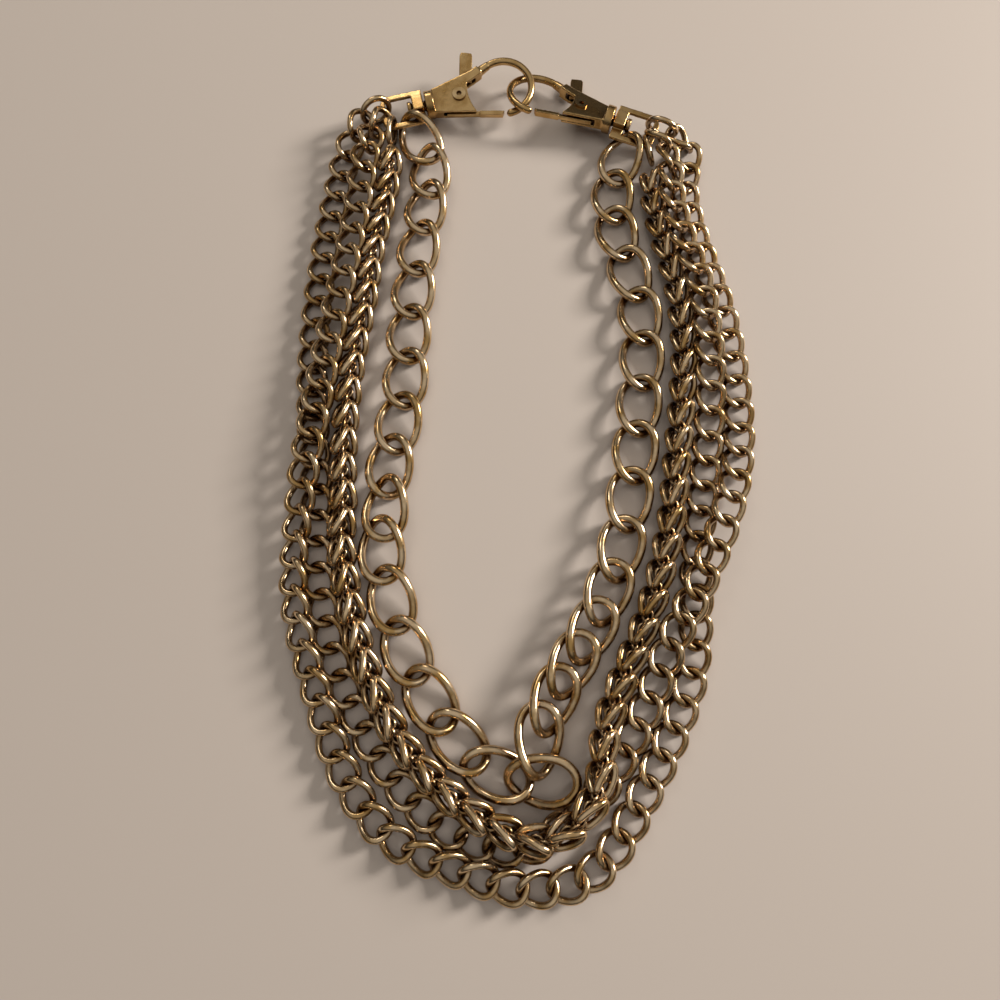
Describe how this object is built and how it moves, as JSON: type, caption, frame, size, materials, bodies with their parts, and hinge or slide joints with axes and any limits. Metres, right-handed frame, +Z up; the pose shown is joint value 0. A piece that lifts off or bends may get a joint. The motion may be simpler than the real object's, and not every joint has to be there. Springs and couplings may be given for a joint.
{
  "type": "necklace",
  "caption": "Multi-strand chain necklace: large open links, curb chains and a wheat chain between two swivel snap clasps hooked together.",
  "frame": {"origin": "middle of the necklace's box, on the surface it lies on", "axes": "+X to the right, +Y up the necklace towards its clasps, +Z up from the surface"},
  "size_m": [0.1102, 0.2096, 0.0098],
  "materials": {
    "large_links": "polished, slightly aged",
    "curb_links": "polished, slightly aged",
    "wheat_links": "polished, slightly aged",
    "clasps": "satin, slightly aged",
    "rivets": "dark satin"
  },
  "bodies": {
    "chains": {"large_link_01": "large_links", "large_link_02": "large_links", "large_link_03": "large_links", "large_link_04": "large_links", "large_link_05": "large_links", "large_link_06": "large_links", "large_link_07": "large_links", "large_link_08": "large_links", "large_link_09": "large_links", "large_link_10": "large_links", "large_link_11": "large_links", "large_link_12": "large_links", "large_link_13": "large_links", "large_link_14": "large_links", "large_link_15": "large_links", "large_link_16": "large_links", "large_link_17": "large_links", "large_link_18": "large_links", "large_link_19": "large_links", "large_link_20": "large_links", "large_link_21": "large_links", "large_link_22": "large_links", "large_link_23": "large_links", "large_link_24": "large_links", "large_link_25": "large_links", "large_link_26": "large_links", "large_link_27": "large_links", "large_link_28": "large_links", "large_link_29": "large_links", "large_link_30": "large_links", "large_link_31": "large_links", "large_link_32": "large_links", "curb_chain_outer": "curb_links", "curb_chain_inner": "curb_links", "wheat_chain": "wheat_links", "left_swivel_eye": "clasps", "right_swivel_eye": "clasps"},
    "left_clasp": {"left_clasp_body": "clasps", "left_rivet": "rivets"},
    "left_lever": {"left_gate_lever": "clasps"},
    "right_clasp": {"right_clasp_body": "clasps", "right_rivet": "rivets"},
    "right_lever": {"right_gate_lever": "clasps"}
  },
  "joints": [
    {"name": "left_swivel", "type": "hinge", "parent": "chains", "child": "left_clasp", "pos_m": [-0.0241, 0.0899, 0.0044], "axis": [0.9768, 0.2076, 0.0523], "range_deg": [0, 25]},
    {"name": "left_gate", "type": "hinge", "parent": "left_clasp", "child": "left_lever", "pos_m": [-0.01615, 0.09189, 0.00487], "axis": [-0.0218, -0.1469, 0.9889], "range_deg": [0, 15], "stiffness_Nm_per_rad": 0.02, "springref_deg": -17.19},
    {"name": "right_swivel", "type": "hinge", "parent": "chains", "child": "right_clasp", "pos_m": [0.0237, 0.0853, 0.0043], "axis": [-0.9391, 0.3418, 0.0349], "range_deg": [0, 25]},
    {"name": "right_gate", "type": "hinge", "parent": "right_clasp", "child": "right_lever", "pos_m": [0.0161, 0.08837, 0.0045], "axis": [-0.1258, -0.2475, -0.9607], "range_deg": [0, 20], "stiffness_Nm_per_rad": 0.02, "springref_deg": -17.19}
  ]
}
